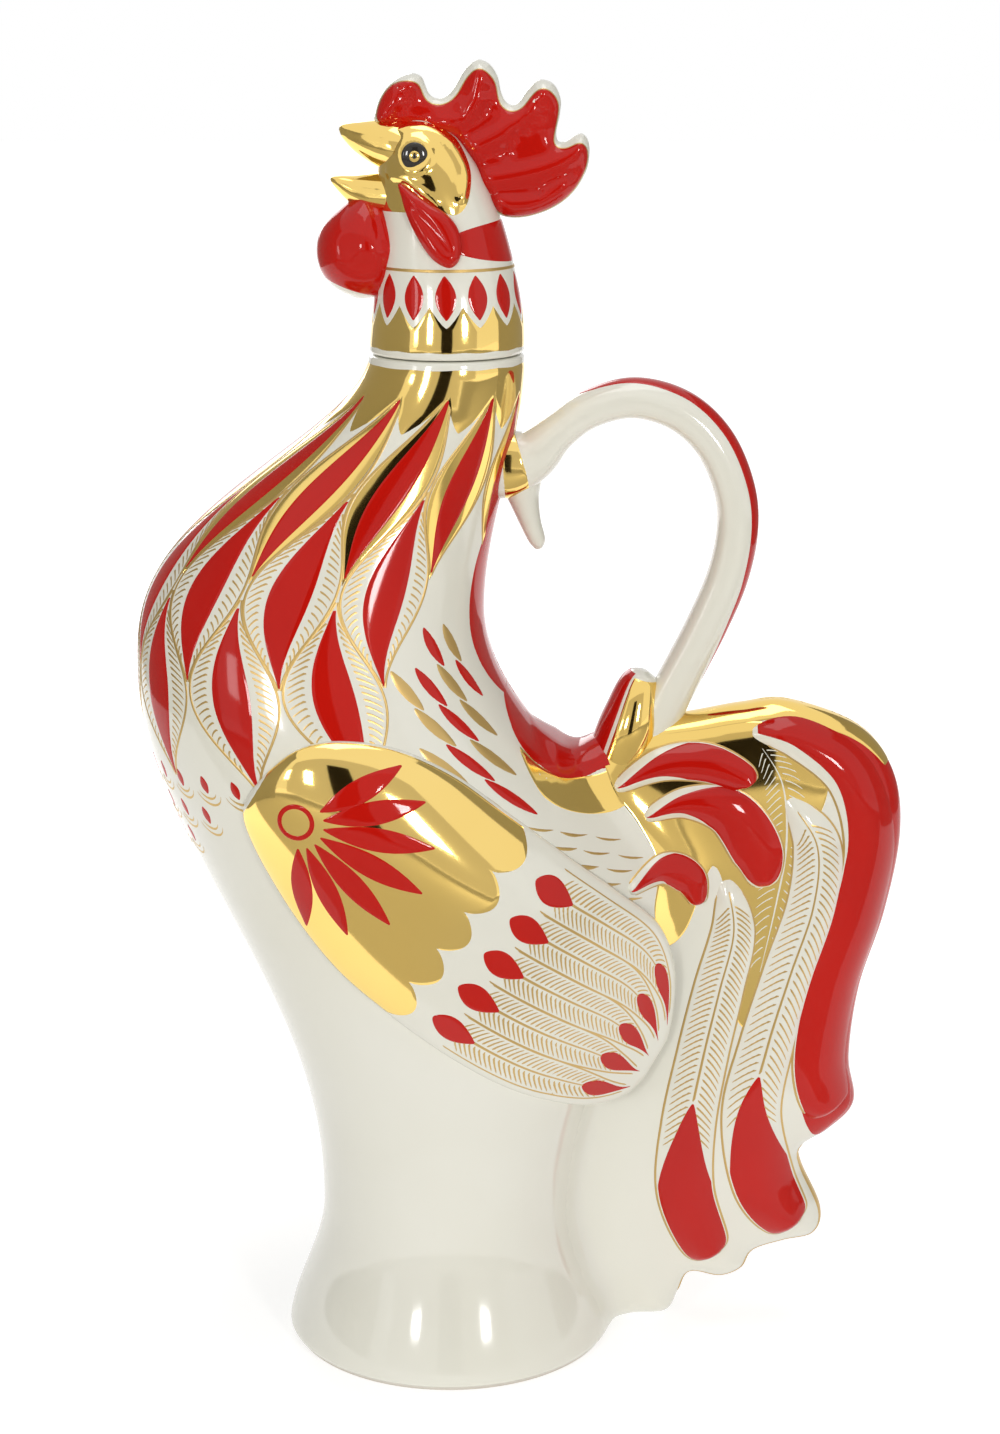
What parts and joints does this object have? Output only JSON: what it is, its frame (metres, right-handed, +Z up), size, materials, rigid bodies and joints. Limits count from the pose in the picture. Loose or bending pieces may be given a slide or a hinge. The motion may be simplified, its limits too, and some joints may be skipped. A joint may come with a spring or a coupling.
{
  "type": "rooster decanter",
  "caption": "Porcelain decanter shaped as a crowing rooster, with a loop handle over its tail and a lift-off head that stops the neck.",
  "frame": {"origin": "centre of the foot ring on the table, below the neck's axis", "axes": "+Z up along the neck's axis, -X towards the breast and beak, +X towards the tail, +Y to the rooster's left"},
  "size_m": [0.171, 0.0884, 0.2901],
  "materials": {
    "porcelain": "gloss white glaze",
    "enamel_red": "gloss red enamel on porcelain",
    "gold_lustre": "bright gold lustre on porcelain",
    "eye_black": "gloss black enamel on porcelain",
    "silicone": "soft translucent white"
  },
  "bodies": {
    "decanter": {"body_vessel": "porcelain", "left_wing": "gold_lustre", "right_wing": "gold_lustre", "tail_fan": "porcelain", "left_tail_plumes": "enamel_red", "right_tail_plumes": "enamel_red", "back_scroll": "gold_lustre", "handle": "porcelain"},
    "seal": {"stopper_seal": "silicone"},
    "head": {"head_shell": "porcelain", "comb": "enamel_red", "upper_beak": "gold_lustre", "lower_beak": "gold_lustre", "wattle": "enamel_red", "left_ear_lobe": "enamel_red", "right_ear_lobe": "enamel_red", "left_eye": "eye_black", "right_eye": "eye_black", "stopper_plug": "porcelain"}
  },
  "joints": [
    {"name": "stopper_lift", "type": "slide", "parent": "decanter", "child": "seal", "axis": [0, 0, 1], "range_m": [0, 0.06]},
    {"name": "head_turn", "type": "hinge", "parent": "seal", "child": "head", "pos_m": [0, 0, 0.228], "axis": [0, 0, 1], "continuous": true}
  ]
}
